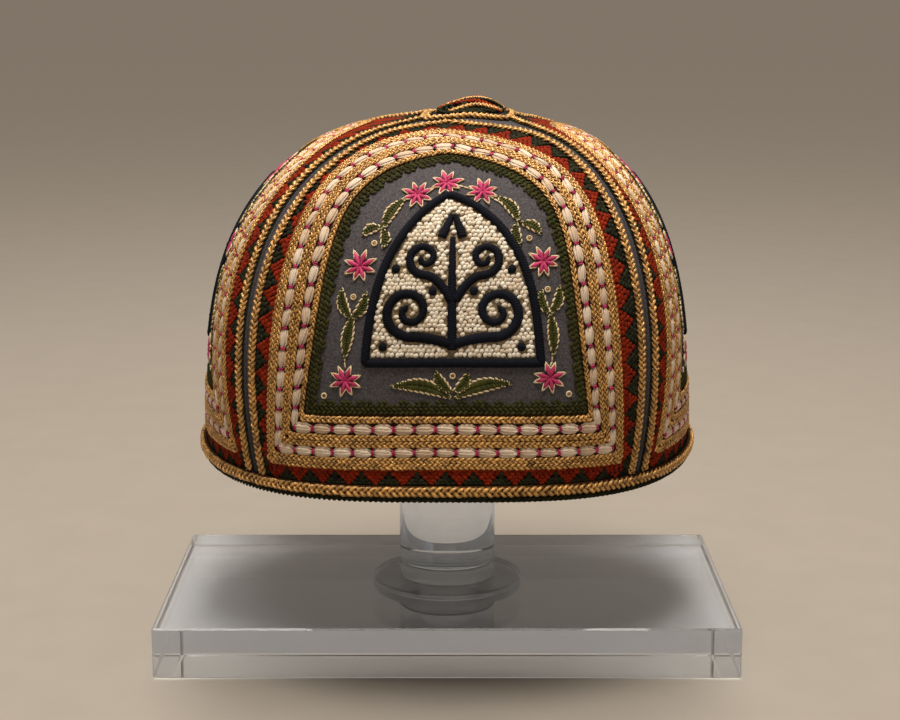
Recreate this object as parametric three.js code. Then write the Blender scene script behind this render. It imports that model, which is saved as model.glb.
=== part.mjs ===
// Embroidered four-panel felt cap on a clear acrylic display stand.
// Millimetres, +Z up. The origin is the middle of the stand's underside and the front faces -Y.
import * as THREE from "three";
import { mergeVertices } from "three/addons/utils/BufferGeometryUtils.js";

// Space left between pieces that touch
const seat = 0.35;
const bandSeat = 0.6;
const standSeat = 0.1;

// Stand
const slabWidth = 203;
const slabDepth = 114;
const slabHeight = 18;
const slabEdge = 0.5; // polished chamfer along every edge
const flangeRadius = 27.3;
const flangeHeight = 2.2;
const stubHeight = 6;
const postRadius = 17.5;
const roundEdge = 0.6; // chamfer on the turned pieces
const turnedSides = 40;

// Felt crown, measured on its outer face
const feltThickness = 2.6;
const rimHeight = 73; // lower edge of the felt at the seams
const crownHeight = 115; // from that edge to the top of the dome
const halfWidth = 83.6; // axis to the middle of a panel
const rimFlare = 0.03; // the rim is this much wider than the wall
const rimArch = 1.8; // rise of the rim in the middle of each panel
const runIn = 2.83; // power of the wall's curve towards the axis
const shoulder = 3.17; // power of the wall's curve up to the shoulder
const lean = 4.6; // how far the top of the dome leans to the right
const peakRise = 5;
const peakWidth = 14;
const peakLean = 6;
const pullWidth = 20; // the felt that leans with the peak
const crownOpening = 3.5; // radius where the panel tips stop
// Squareness of the plan: 2 is a circle, more is squarer, with the corners on the seams
const planSections = [
  { level: 0, power: 2.19 },
  { level: 0.5, power: 3.15 },
  { level: 1, power: 2.98 },
];
const panelNames = ["front", "right", "back", "left"];
const panelColumns = 14;
const panelRows = 14;
const rowCrowding = 1.35; // rows lie closer together towards the peak

// Cords and bands sewn on the felt
const seamBraid = { width: 3.4, thickness: 1.5, fromSeam: 3.4, foot: 3.1, rows: 20 };
// Above spreadFrom the front and back braids leave the seams, and a panel's two braids join in an
// arch whose tip leans to one side. The other braids follow the seams up to the knot.
const braidArch = { spreadFrom: 90, joinAt: 147, power: 8, lean: -6, endGap: 0.5, crowding: 1.8 };
const straightBraidTop = 150.5;
const crownKnot = { radius: 15, thickness: 2.2, sides: 20 };
const rimStations = 56;
// Sections of the rim's braid and cord: out from the felt's face, up from its lower edge
const rimBraidSection = [
  { out: seat, up: -1.5 },
  { out: 2.3, up: -1.5 },
  { out: 3.4, up: -0.4 },
  { out: 3.4, up: 1.5 },
  { out: 2.3, up: 2.6 },
  { out: seat, up: 2.6 },
];
const rimCordSection = [
  { out: -2.4, up: -2.9 },
  { out: 1.2, up: -2.9 },
  { out: 1.8, up: -2.3 },
  { out: 1.8, up: -1.9 },
  { out: 0.3, up: -1.9 },
  { out: -0.4, up: -seat },
  { out: -2.4, up: -seat },
];

// Pointed arches on a panel: half width of the foot, heights above the felt's lower edge, how far
// the middle of the foot and the tip stand to the right of the panel's middle, the power of the
// sides' curve, higher for squarer shoulders, and the share of the width lost to the sides' slope
const bandOuter = { halfFoot: 61.4, foot: 7.6, tip: 137, shift: -0.7, tipShift: -6, side: 4.4, taper: 0.17 };
const bandInner = { halfFoot: 46.2, foot: 25.8, tip: 118, shift: -0.2, tipShift: -3, side: 7, taper: 0.29 };
const cartoucheArch = { halfFoot: 30, foot: 41.8, tip: 101, shift: 1.6, tipShift: -1, side: 2.4, taper: 0 };
const archTip = 1.3; // power of an arch's width
const archLean = 6; // power of the tip's shift along the height
const archCrowding = 1.5; // stations lie closer together towards the tip
const bandThickness = 1.1;
const cartoucheThickness = 0.9;
const footStations = 12;
const sideStations = 15;

const quarter = Math.PI / 2;
const eighth = Math.PI / 4;

// Rounded-square dome

function planPower(level) {
  let power = 0;
  for (const own of planSections) {
    let weight = 1;
    for (const other of planSections) {
      if (other !== own) weight *= (level - other.level) / (own.level - other.level);
    }
    power += weight * own.power;
  }
  return power;
}

// turn: angle about Z from the front. climb: 0 at the rim, a quarter turn at the top.
function domePoint(turn, climb) {
  const level = Math.sin(climb) ** (2 / shoulder);
  const power = planPower(level);
  const across = Math.abs(Math.sin(turn)) ** power + Math.abs(Math.cos(turn)) ** power;
  const flare = 1 + rimFlare * (1 - level) ** 3;
  const radius = halfWidth * flare * Math.cos(climb) ** (2 / runIn) * across ** (-1 / power);
  return new THREE.Vector3(radius * Math.sin(turn), -radius * Math.cos(turn), crownHeight * level);
}

function domeNormal(turn, climb) {
  const step = 1e-3;
  const low = Math.max(climb - step, 1e-4);
  const high = Math.min(climb + step, quarter - 1e-4);
  const along = domePoint(turn + step, climb).sub(domePoint(turn - step, climb));
  const up = domePoint(turn, high).sub(domePoint(turn, low));
  return along.cross(up).normalize();
}

// The worn shape: the rim arches over each panel, the top leans and ends in a small peak.
function settle(point) {
  const level = THREE.MathUtils.clamp(point.z / crownHeight, 0, 1);
  const fromAxis = Math.hypot(point.x, point.y);
  const turn = Math.atan2(point.x, -point.y);
  const peak = Math.exp(-((fromAxis / peakWidth) ** 2));
  const pull = Math.exp(-((fromAxis / pullWidth) ** 2));
  const arch = rimArch * Math.cos(2 * turn) ** 2 * (1 - level) ** 2;
  return new THREE.Vector3(
    point.x + lean * level ** 4 + peakLean * pull * level,
    point.y,
    rimHeight + point.z + arch + peakRise * peak * level,
  );
}

// A point on the felt, moved out from its face
function feltPoint(turn, climb, out) {
  return settle(domePoint(turn, climb).addScaledVector(domeNormal(turn, climb), out));
}

// Lengths on the felt: up the middle of a panel, and across it

function tabulate(count, last, curve) {
  const rows = [{ at: 0, length: 0 }];
  let before = curve(0);
  for (let i = 1; i <= count; i++) {
    const at = (last * i) / count;
    const here = curve(at);
    rows.push({ at, length: rows[i - 1].length + here.distanceTo(before) });
    before = here;
  }
  return rows;
}

function whereLengthIs(rows, length) {
  const found = rows.findIndex((row) => row.length >= length);
  if (found < 0) return rows[rows.length - 1].at;
  if (found === 0) return rows[0].at;
  const [a, b] = [rows[found - 1], rows[found]];
  return THREE.MathUtils.lerp(a.at, b.at, (length - a.length) / (b.length - a.length));
}

const middleRows = tabulate(600, quarter, (climb) => domePoint(0, climb));
const panelLength = middleRows[middleRows.length - 1].length;

function climbAt(up) {
  return whereLengthIs(middleRows, up);
}

function acrossRows(climb) {
  return tabulate(60, eighth, (turn) => domePoint(turn, climb));
}

function panelPoint(panel, across, up, out) {
  const climb = climbAt(up);
  const turn = Math.sign(across) * whereLengthIs(acrossRows(climb), Math.abs(across));
  return feltPoint(turn + panel * quarter, climb, out);
}

// Closed meshes

function closedGeometry(points, faces) {
  const flat = new Float32Array(points.flatMap((p) => [p.x, p.y, p.z]));
  const geometry = new THREE.BufferGeometry();
  geometry.setAttribute("position", new THREE.BufferAttribute(flat, 3));
  geometry.setIndex(faces);
  geometry.computeVertexNormals();
  return geometry;
}

function quad(a, b, c, d) {
  return [a, b, c, a, c, d];
}

// A wall over a grid: place(u, v, side) gives its outer face for side 1 and its inner for 0.
function wallGeometry(columns, rows, place) {
  const points = [];
  const faces = [];
  const wide = columns + 1;
  const inner = wide * (rows + 1);
  for (const side of [1, 0]) {
    for (let j = 0; j <= rows; j++) {
      for (let i = 0; i <= columns; i++) points.push(place(i / columns, j / rows, side));
    }
  }
  const at = (i, j) => j * wide + i;
  for (let j = 0; j < rows; j++) {
    for (let i = 0; i < columns; i++) {
      const corner = [at(i, j), at(i + 1, j), at(i + 1, j + 1), at(i, j + 1)];
      faces.push(...quad(...corner));
      faces.push(...quad(...corner.map((k) => k + inner).reverse()));
    }
  }
  const edge = [];
  for (let i = 0; i < columns; i++) edge.push(at(i, 0));
  for (let j = 0; j < rows; j++) edge.push(at(columns, j));
  for (let i = columns; i > 0; i--) edge.push(at(i, rows));
  for (let j = rows; j > 0; j--) edge.push(at(0, j));
  edge.forEach((a, k) => {
    const b = edge[(k + 1) % edge.length];
    faces.push(...quad(a, a + inner, b + inner, b));
  });
  return closedGeometry(points, faces);
}

// A closed loop of stations, each with the same closed section of points
function loopGeometry(loop) {
  const points = loop.flat();
  const faces = [];
  const size = loop[0].length;
  loop.forEach((_, i) => {
    const next = (i + 1) % loop.length;
    for (let j = 0; j < size; j++) {
      const k = (j + 1) % size;
      faces.push(...quad(i * size + j, next * size + j, next * size + k, i * size + k));
    }
  });
  return closedGeometry(points, faces);
}

// A turned piece from its outline of [radius, height] pairs
function turnedGeometry(outline) {
  const profile = outline.map(([radius, height]) => new THREE.Vector2(radius, height));
  const geometry = new THREE.LatheGeometry(profile, turnedSides).rotateX(quarter);
  geometry.deleteAttribute("normal");
  geometry.deleteAttribute("uv");
  const merged = mergeVertices(geometry, 1e-4);
  merged.computeVertexNormals();
  return merged;
}

// Materials

function finish(color, roughness, metalness = 0) {
  return new THREE.MeshStandardMaterial({ color, roughness, metalness });
}

const felt = finish("#6a6464", 0.95);
const goldThread = finish("#bc8a46", 0.55, 0.1);
const bandThread = finish("#c39a63", 0.6);
const ecruThread = finish("#d6c3a4", 0.75);
const darkCord = finish("#33352b", 0.85);
const rustCord = finish("#8a3a20", 0.8);
const acrylic = finish("#eef2f2", 0.06);
acrylic.transparent = true;
acrylic.opacity = 0.35;

const cap = new THREE.Group();
const stand = new THREE.Group();

function addPiece(group, name, geometry, material) {
  const mesh = new THREE.Mesh(geometry, material);
  mesh.name = name;
  group.add(mesh);
}

// Panels: felt gores that meet on the seams

function panelWall(panel) {
  const top = panelLength - crownOpening;
  return wallGeometry(panelColumns, panelRows, (u, v, side) => {
    const climb = climbAt(top * (1 - (1 - v) ** rowCrowding));
    const radius = Math.hypot(...domePoint(eighth, climb).toArray().slice(0, 2));
    const reach = eighth - Math.asin(seat / 2 / radius);
    const turn = panel * quarter + (2 * u - 1) * reach;
    return feltPoint(turn, climb, side === 1 ? 0 : -feltThickness);
  });
}

// Seam braids: one along each edge of each panel, from the rim to the arch's tip or the knot

function halfAcross(up) {
  const lengths = acrossRows(climbAt(up));
  return lengths[lengths.length - 1].length;
}

function braidPoint(arched, side, up) {
  const { spreadFrom, joinAt, power, lean } = braidArch;
  const spread = THREE.MathUtils.clamp((up - spreadFrom) / (joinAt - spreadFrom), 0, 1);
  const climbing = arched ? spread ** power : 0;
  const inset = THREE.MathUtils.lerp(seamBraid.fromSeam, halfAcross(joinAt), climbing);
  return new THREE.Vector2(side * (halfAcross(up) - inset) + lean * climbing, up);
}

function braidWall(panel, side) {
  const { width, thickness, foot, rows } = seamBraid;
  const { joinAt, endGap, crowding } = braidArch;
  const arched = panel % 2 === 0;
  const top = arched ? joinAt - endGap : straightBraidTop;
  const step = 0.4;
  return wallGeometry(2, rows, (u, v, face) => {
    const height = THREE.MathUtils.lerp(foot, top, 1 - (1 - v) ** crowding);
    const middle = braidPoint(arched, side, height);
    const below = braidPoint(arched, side, height - step);
    const ahead = braidPoint(arched, side, height + step).sub(below).normalize();
    const across = middle.x + ahead.y * width * (u - 0.5);
    const up = middle.y - ahead.x * width * (u - 0.5);
    const crest = 1 - 0.6 * Math.abs(2 * u - 1);
    return panelPoint(panel, across, up, seat + face * thickness * crest);
  });
}

// Rim: a braid round the outside of the felt's edge, and a cord that binds it below

function rimLoop(section) {
  const loop = [];
  for (let i = 0; i < rimStations; i++) {
    const turn = (i * 2 * Math.PI) / rimStations;
    loop.push(
      section.map(({ out, up }) => {
        const wall = domePoint(turn, climbAt(Math.max(up, 0)));
        const outward = new THREE.Vector3(wall.x, wall.y, 0).normalize();
        wall.addScaledVector(outward, out).z = up;
        return settle(wall);
      }),
    );
  }
  return loopGeometry(loop);
}

// Knot: the gathered cord ends that cover the panel tips

function knotWall() {
  const { radius, thickness, sides } = crownKnot;
  const rings = [0.33, 0.7, 1];
  const points = [feltPoint(0, quarter - 1e-3, seat), feltPoint(0, quarter - 1e-3, seat + thickness)];
  for (const ring of rings) {
    const climb = climbAt(panelLength - radius * ring);
    const crest = Math.sqrt(1 - 0.85 * ring ** 2);
    for (let i = 0; i < sides; i++) {
      const turn = (i * 2 * Math.PI) / sides;
      points.push(feltPoint(turn, climb, seat), feltPoint(turn, climb, seat + thickness * crest));
    }
  }
  const at = (ring, i, face) => 2 + 2 * (ring * sides + (i % sides)) + face;
  const faces = [];
  for (let i = 0; i < sides; i++) {
    faces.push(1, at(0, i, 1), at(0, i + 1, 1));
    faces.push(0, at(0, i + 1, 0), at(0, i, 0));
    for (let ring = 0; ring + 1 < rings.length; ring++) {
      faces.push(...quad(at(ring, i, 1), at(ring + 1, i, 1), at(ring + 1, i + 1, 1), at(ring, i + 1, 1)));
      faces.push(...quad(at(ring, i, 0), at(ring, i + 1, 0), at(ring + 1, i + 1, 0), at(ring + 1, i, 0)));
    }
    const rim = rings.length - 1;
    faces.push(...quad(at(rim, i, 0), at(rim, i + 1, 0), at(rim, i + 1, 1), at(rim, i, 1)));
  }
  return closedGeometry(points, faces);
}

// Arch bands and cartouches: the raised embroidery of each panel

function archBetween(k) {
  const mixed = {};
  for (const key of Object.keys(bandOuter)) {
    mixed[key] = THREE.MathUtils.lerp(bandOuter[key], bandInner[key], k);
  }
  return mixed;
}

// climbed runs from 0 at the foot to 1 at the tip
function archSidePoint(arch, side, climbed) {
  const height = 1 - (1 - climbed) ** archCrowding;
  const middle = THREE.MathUtils.lerp(arch.shift, arch.tipShift, height ** archLean);
  const narrowed = (1 - arch.taper * height) * (1 - height ** arch.side) ** (1 / archTip);
  return {
    across: middle + side * arch.halfFoot * narrowed,
    up: THREE.MathUtils.lerp(arch.foot, arch.tip, height),
  };
}

function archStation(arch, station) {
  if (station < footStations) {
    const across = arch.shift + arch.halfFoot * ((2 * station) / footStations - 1);
    return { across, up: arch.foot };
  }
  const along = (station - footStations) / sideStations;
  const side = along < 1 ? 1 : -1;
  return archSidePoint(arch, side, along < 1 ? along : 2 - along);
}

function bandLoop(panel) {
  const section = [
    { across: 0, out: bandSeat + bandThickness * 0.5 },
    { across: 0.2, out: bandSeat + bandThickness },
    { across: 0.8, out: bandSeat + bandThickness },
    { across: 1, out: bandSeat + bandThickness * 0.5 },
    { across: 1, out: bandSeat },
    { across: 0.67, out: bandSeat },
    { across: 0.33, out: bandSeat },
    { across: 0, out: bandSeat },
  ];
  const loop = [];
  for (let station = 0; station < footStations + 2 * sideStations; station++) {
    loop.push(
      section.map((corner) => {
        const { across, up } = archStation(archBetween(corner.across), station);
        return panelPoint(panel, across, up, corner.out);
      }),
    );
  }
  return loopGeometry(loop);
}

function cartoucheWall(panel) {
  const blunted = 0.97; // the wall stops just under the tip
  return wallGeometry(6, 7, (u, v, face) => {
    const left = archSidePoint(cartoucheArch, -1, blunted * v);
    const right = archSidePoint(cartoucheArch, 1, blunted * v);
    const across = THREE.MathUtils.lerp(left.across, right.across, u);
    return panelPoint(panel, across, left.up, seat + face * cartoucheThickness);
  });
}

panelNames.forEach((name, panel) => {
  addPiece(cap, `panel_${name}`, panelWall(panel), felt);
  addPiece(cap, `arch_band_${name}`, bandLoop(panel), bandThread);
  addPiece(cap, `cartouche_${name}`, cartoucheWall(panel), ecruThread);
  addPiece(cap, `seam_braid_${name}_l`, braidWall(panel, -1), goldThread);
  addPiece(cap, `seam_braid_${name}_r`, braidWall(panel, 1), goldThread);
});
addPiece(cap, "rim_braid", rimLoop(rimBraidSection), goldThread);
addPiece(cap, "rim_cord", rimLoop(rimCordSection), darkCord);
addPiece(cap, "crown_knot", knotWall(), rustCord);

// Stand: a slab, a flange with a short stub, and a post that carries the crown

function slabGeometry() {
  const [x, y] = [slabWidth / 2 - slabEdge, slabDepth / 2 - slabEdge];
  const outline = new THREE.Shape([
    new THREE.Vector2(-x, -y),
    new THREE.Vector2(x, -y),
    new THREE.Vector2(x, y),
    new THREE.Vector2(-x, y),
  ]);
  const geometry = new THREE.ExtrudeGeometry(outline, {
    depth: slabHeight - 2 * slabEdge,
    bevelEnabled: true,
    bevelThickness: slabEdge,
    bevelSize: slabEdge,
    bevelSegments: 1,
  });
  return geometry.translate(0, 0, slabEdge);
}

// The post's top lies just under the lowest felt above it
function underCrown() {
  let lowest = Infinity;
  for (let i = 0; i < turnedSides; i++) {
    for (let ring = 0; ring <= 30; ring++) {
      const climb = climbAt(panelLength - ring);
      const point = feltPoint((i * 2 * Math.PI) / turnedSides, climb, -feltThickness);
      if (Math.hypot(point.x, point.y) < postRadius) lowest = Math.min(lowest, point.z);
    }
  }
  return lowest - seat;
}

const flangeFoot = slabHeight + standSeat;
const stubFoot = flangeFoot + flangeHeight;
const stubTop = stubFoot + stubHeight;
const postFoot = stubTop + standSeat;
const postTop = underCrown();

addPiece(stand, "base_slab", slabGeometry(), acrylic);
addPiece(
  stand,
  "post_flange",
  turnedGeometry([
    [0, flangeFoot],
    [flangeRadius, flangeFoot],
    [flangeRadius, stubFoot - roundEdge],
    [flangeRadius - roundEdge, stubFoot],
    [postRadius, stubFoot],
    [postRadius, stubTop],
    [0, stubTop],
  ]),
  acrylic,
);
addPiece(
  stand,
  "post",
  turnedGeometry([
    [0, postFoot],
    [postRadius, postFoot],
    [postRadius, postTop - roundEdge],
    [postRadius - roundEdge, postTop],
    [0, postTop],
  ]),
  acrylic,
);

const model = new THREE.Group();
model.add(stand, cap);
export default model;
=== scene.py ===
import math
import bpy
import numpy as np
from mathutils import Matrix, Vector


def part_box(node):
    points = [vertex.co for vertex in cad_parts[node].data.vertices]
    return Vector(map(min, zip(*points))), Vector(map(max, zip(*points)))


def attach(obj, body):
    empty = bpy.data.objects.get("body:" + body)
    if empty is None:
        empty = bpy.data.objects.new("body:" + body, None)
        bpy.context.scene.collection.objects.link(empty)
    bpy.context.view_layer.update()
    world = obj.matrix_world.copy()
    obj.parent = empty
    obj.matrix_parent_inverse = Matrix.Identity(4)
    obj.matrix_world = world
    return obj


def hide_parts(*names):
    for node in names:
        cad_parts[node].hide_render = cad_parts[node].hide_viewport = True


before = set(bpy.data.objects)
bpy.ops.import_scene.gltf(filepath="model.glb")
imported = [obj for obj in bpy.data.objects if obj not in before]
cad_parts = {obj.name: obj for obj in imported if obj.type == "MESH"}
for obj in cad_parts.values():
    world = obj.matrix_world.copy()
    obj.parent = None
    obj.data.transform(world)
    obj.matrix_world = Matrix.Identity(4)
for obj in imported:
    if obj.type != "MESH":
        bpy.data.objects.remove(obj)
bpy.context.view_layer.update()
mm = 0.001
quarterTurn = math.pi / 2
eighthTurn = math.pi / 4
panelNames = ("front", "right", "back", "left")
draw = np.random.default_rng(11)  # every uneven stitch comes from this one source

# Felt crown, in millimetres: a rounded-square dome, squarer where planPower is higher
capForm = {
    "rimHeight": 73.0,
    "crownHeight": 115.0,
    "halfWidth": 83.6,
    "rimFlare": 0.03,
    "rimArch": 1.8,
    "runIn": 2.83,
    "shoulder": 3.17,
    "lean": 4.6,
    "peakRise": 5.0,
    "peakLean": 6.0,
    "peakWidth": 14.0,
    "pullWidth": 20.0,
    "planPower": ((0.0, 2.19), (0.5, 3.15), (1.0, 2.98)),  # level, power
}


def planPower(level):
    power = 0.0
    for at, own in capForm["planPower"]:
        weight = 1.0
        for other, _ in capForm["planPower"]:
            if other != at:
                weight = weight * (level - other) / (at - other)
        power = power + weight * own
    return power


# turn: angle about Z from the front. climb: 0 at the rim, a quarter turn at the top
def domePoint(turn, climb):
    turn, climb = np.broadcast_arrays(turn, climb)
    level = np.sin(climb) ** (2 / capForm["shoulder"])
    power = planPower(level)
    spread = np.abs(np.sin(turn)) ** power + np.abs(np.cos(turn)) ** power
    flare = 1 + capForm["rimFlare"] * (1 - level) ** 3
    radius = capForm["halfWidth"] * flare * np.cos(climb) ** (2 / capForm["runIn"]) * spread ** (-1 / power)
    return np.stack([radius * np.sin(turn), -radius * np.cos(turn), capForm["crownHeight"] * level], -1)


def unit(vectors):
    return vectors / np.linalg.norm(vectors, axis=-1, keepdims=True)


def domeNormal(turn, climb, step=1e-3):
    low = np.maximum(climb - step, 1e-4)
    high = np.minimum(climb + step, quarterTurn - 1e-4)
    around = domePoint(turn + step, climb) - domePoint(turn - step, climb)
    return unit(np.cross(around, domePoint(turn, high) - domePoint(turn, low)))


# The worn shape: the rim arches over each panel, the top leans and ends in a small peak
def settle(points):
    x, y, z = points[..., 0], points[..., 1], points[..., 2]
    level = np.clip(z / capForm["crownHeight"], 0, 1)
    fromAxis = np.hypot(x, y)
    peak = np.exp(-((fromAxis / capForm["peakWidth"]) ** 2))
    pull = np.exp(-((fromAxis / capForm["pullWidth"]) ** 2))
    arch = capForm["rimArch"] * np.cos(2 * np.arctan2(x, -y)) ** 2 * (1 - level) ** 2
    slide = capForm["lean"] * level ** 4 + capForm["peakLean"] * pull * level
    rise = capForm["rimHeight"] + arch + capForm["peakRise"] * peak * level
    return np.stack([x + slide, y, z + rise], -1)


def runLengths(points, axis=0):
    steps = np.linalg.norm(np.diff(points, axis=axis), axis=-1)
    start = np.zeros_like(np.take(steps, [0], axis))
    return np.concatenate([start, np.cumsum(steps, axis)], axis)


# Lengths on the felt: up the middle of a panel, and across it at each height
climbSteps = np.linspace(0, quarterTurn - 1e-4, 500)
turnSteps = np.linspace(0, eighthTurn, 121)
shareSteps = np.linspace(0, 1, 61)
upLengths = runLengths(domePoint(0 * climbSteps, climbSteps))
panelLength = upLengths[-1]
acrossLengths = runLengths(domePoint(turnSteps[None, :], climbSteps[:, None]), 1)
halfLengths = acrossLengths[:, -1]
turnByShare = np.array([
    np.interp(shareSteps * half, row, turnSteps) for row, half in zip(acrossLengths, halfLengths)
])


def halfAcross(up):
    return np.interp(up, upLengths, halfLengths)


def panelTurn(across, up):
    across, up = np.broadcast_arrays(np.asarray(across, float), np.asarray(up, float))
    row = np.interp(up, upLengths, np.arange(len(upLengths)))
    share = np.minimum(np.abs(across) / halfAcross(up), 1) * (len(shareSteps) - 1)
    i = np.minimum(row.astype(int), len(upLengths) - 2)
    j = np.minimum(share.astype(int), len(shareSteps) - 2)
    p, q = row - i, share - j
    low = turnByShare[i, j] * (1 - q) + turnByShare[i, j + 1] * q
    high = turnByShare[i + 1, j] * (1 - q) + turnByShare[i + 1, j + 1] * q
    return np.sign(across) * (low * (1 - p) + high * p), np.interp(up, upLengths, climbSteps)


# A spot on the front panel, across from its middle and up from its lower edge
def panelSurface(across, up):
    turn, climb = panelTurn(across, up)
    return domePoint(turn, climb), domeNormal(turn, climb)


# Lines on a panel are functions of a station; stitches stand along them in frames of their own
def placeAlong(line, stations, step=2e-3):
    origin, normal = panelSurface(*line(stations))
    ahead = panelSurface(*line(stations + step))[0] - panelSurface(*line(stations - step))[0]
    return framed(origin, ahead, normal)


def framed(origin, ahead, normal):
    along = unit(ahead - (ahead * normal).sum(-1, keepdims=True) * normal)
    return {"origin": origin, "along": along, "normal": normal, "side": np.cross(along, normal)}


def evenStations(line, pitch, first=0.0, last=1.0, ends=False):
    fine = np.linspace(first, last, 1500)
    lengths = runLengths(panelSurface(*line(fine))[0])
    count = max(1, round(lengths[-1] / pitch))
    at = np.arange(count + 1) if ends else np.arange(count) + 0.5
    return np.interp(at * lengths[-1] / count, lengths, fine)


def evenPlace(line, pitch, ends=False):
    return placeAlong(line, evenStations(line, pitch, ends=ends))


# A closed line with its corners rounded
def roundedPlace(line, last, step, softness):
    stations = evenStations(line, step, 0, last)
    spots = np.stack(line(stations))
    reach = round(softness / step)
    spots = np.mean([np.roll(spots, k, 1) for k in range(-reach, reach + 1)], 0)
    origin, normal = panelSurface(*spots)
    return framed(origin, np.roll(origin, -1, 0) - np.roll(origin, 1, 0), normal), stations


def turned(place, angles):
    angles = np.broadcast_to(angles, len(place["origin"]))[:, None]
    along = np.cos(angles) * place["along"] + np.sin(angles) * place["side"]
    return {**place, "along": along, "side": np.cross(along, place["normal"])}


def shifted(place, side=0.0, along=0.0, up=0.0):
    move = [np.broadcast_to(value, len(place["origin"]))[:, None] for value in (side, along, up)]
    origin = place["origin"] + move[0] * place["side"] + move[1] * place["along"] + move[2] * place["normal"]
    return {**place, "origin": origin}


# Stitches are modelled once, each about one unit long, and their meshes are kept as arrays
def startStitch(addShape, **sizes):
    bpy.ops.object.select_all(action="DESELECT")
    addShape(**sizes)
    bpy.ops.object.mode_set(mode="EDIT")
    bpy.ops.mesh.select_mode(type="VERT")
    bpy.ops.mesh.select_all(action="SELECT")
    return bpy.context.object


def pickPoints(shape, wanted):
    bpy.ops.mesh.select_all(action="DESELECT")
    bpy.ops.object.mode_set(mode="OBJECT")
    for point in shape.data.vertices:
        point.select = wanted(point.co)
    bpy.ops.object.mode_set(mode="EDIT")


def keepStitch(shape):
    bpy.ops.object.mode_set(mode="OBJECT")
    mesh = shape.data
    corners = [tuple(face.vertices) for face in mesh.polygons]
    stitch = {
        "points": np.array([point.co[:] for point in mesh.vertices]),
        "quads": np.array([face for face in corners if len(face) == 4], int).reshape(-1, 4),
        "tris": np.array([face for face in corners if len(face) == 3], int).reshape(-1, 3),
    }
    bpy.data.objects.remove(shape)
    bpy.data.meshes.remove(mesh)
    return stitch


def modelBead(segments, rings):
    bead = startStitch(bpy.ops.mesh.primitive_uv_sphere_add, segments=segments, ring_count=rings,
                       radius=0.5)
    bpy.ops.transform.rotate(value=quarterTurn, orient_axis="X", center_override=(0, 0, 0))
    pickPoints(bead, lambda co: co.z < -0.01)  # flatter where it lies on the felt
    bpy.ops.transform.resize(value=(1, 1, 0.7), center_override=(0, 0, 0))
    return keepStitch(bead)


# A grain is a bundle of strands drawn together at both ends
grainShape = {"strands": 4, "spread": 0.34, "crest": 0.2, "sag": 0.24, "waver": 0.03, "turn": 0.07,
              "strand": (0.4, 0.5, 1), "drawnFrom": 0.3, "drawn": (0.66, 1, 0.8)}


def modelGrain():
    bundle = startStitch(bpy.ops.object.add, type="MESH")
    for k in range(grainShape["strands"]):
        side = 2 * k / (grainShape["strands"] - 1) - 1
        spot = (grainShape["spread"] * side, grainShape["waver"] * math.sin(3.7 * k),
                grainShape["crest"] - grainShape["sag"] * side ** 2)
        turn = (quarterTurn, 0, grainShape["turn"] * math.cos(2.4 * k))
        bpy.ops.mesh.primitive_uv_sphere_add(segments=6, ring_count=6, radius=0.5, location=spot,
                                             rotation=turn, scale=grainShape["strand"])
    pickPoints(bundle, lambda co: abs(co.y) > grainShape["drawnFrom"])
    bpy.ops.transform.resize(value=grainShape["drawn"], center_override=(0, 0, 0))
    return keepStitch(bundle)


def modelPetal():
    petal = startStitch(bpy.ops.mesh.primitive_uv_sphere_add, segments=8, ring_count=5, radius=0.5)
    bpy.ops.transform.rotate(value=quarterTurn, orient_axis="X", center_override=(0, 0, 0))
    bpy.ops.transform.translate(value=(0, 0.5, 0))
    pickPoints(petal, lambda co: co.y < 0.4)
    bpy.ops.transform.resize(value=(0.7, 1, 1), center_override=(0, 0, 0))
    return keepStitch(petal)


def modelRing():
    return keepStitch(startStitch(bpy.ops.mesh.primitive_torus_add, major_segments=9, minor_segments=4,
                                  major_radius=0.37, minor_radius=0.13))


seed = modelBead(6, 3)
knot = modelBead(6, 4)
grain = modelGrain()
petal = modelPetal()
ring = modelRing()
print("stitches modelled")


# Batches of stitches: points, faces, and for each point its place on the stitch and the stitch's tint
def plant(stitch, place, size, up):
    count = len(place["origin"])
    points, many = stitch["points"], len(stitch["points"])
    local = points[None] * np.broadcast_to(np.asarray(size, float), (count, 3))[:, None]
    rise = local[..., 2:3] + np.broadcast_to(up, count)[:, None, None]
    spots = place["origin"][:, None] + local[..., 0:1] * place["side"][:, None]
    spots = spots + local[..., 1:2] * place["along"][:, None] + rise * place["normal"][:, None]
    tint = np.repeat(draw.random(count), many)
    shift = (np.arange(count) * many)[:, None, None]
    return {
        "points": spots.reshape(-1, 3),
        "stitch": np.column_stack([local[..., 0].ravel(), local[..., 1].ravel(), tint]),
        "quads": (stitch["quads"][None] + shift).reshape(-1, 4),
        "tris": (stitch["tris"][None] + shift).reshape(-1, 3),
    }


def joined(batches):
    starts = np.cumsum([0] + [len(batch["points"]) for batch in batches])
    whole = {}
    for key in ("points", "stitch"):
        whole[key] = np.concatenate([batch[key] for batch in batches])
    for key in ("quads", "tris"):
        whole[key] = np.concatenate([batch[key] + start for batch, start in zip(batches, starts)])
    return whole


# Width, length and height of a stitch, each with its mean share and how unevenly it is sewn
def sewnSizes(count, sides):
    return np.column_stack([length * draw.normal(share, uneven, count) for length, share, uneven in sides])


def fixedSizes(count, *sides):
    return np.column_stack([np.broadcast_to(side, count) for side in sides])


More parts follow.
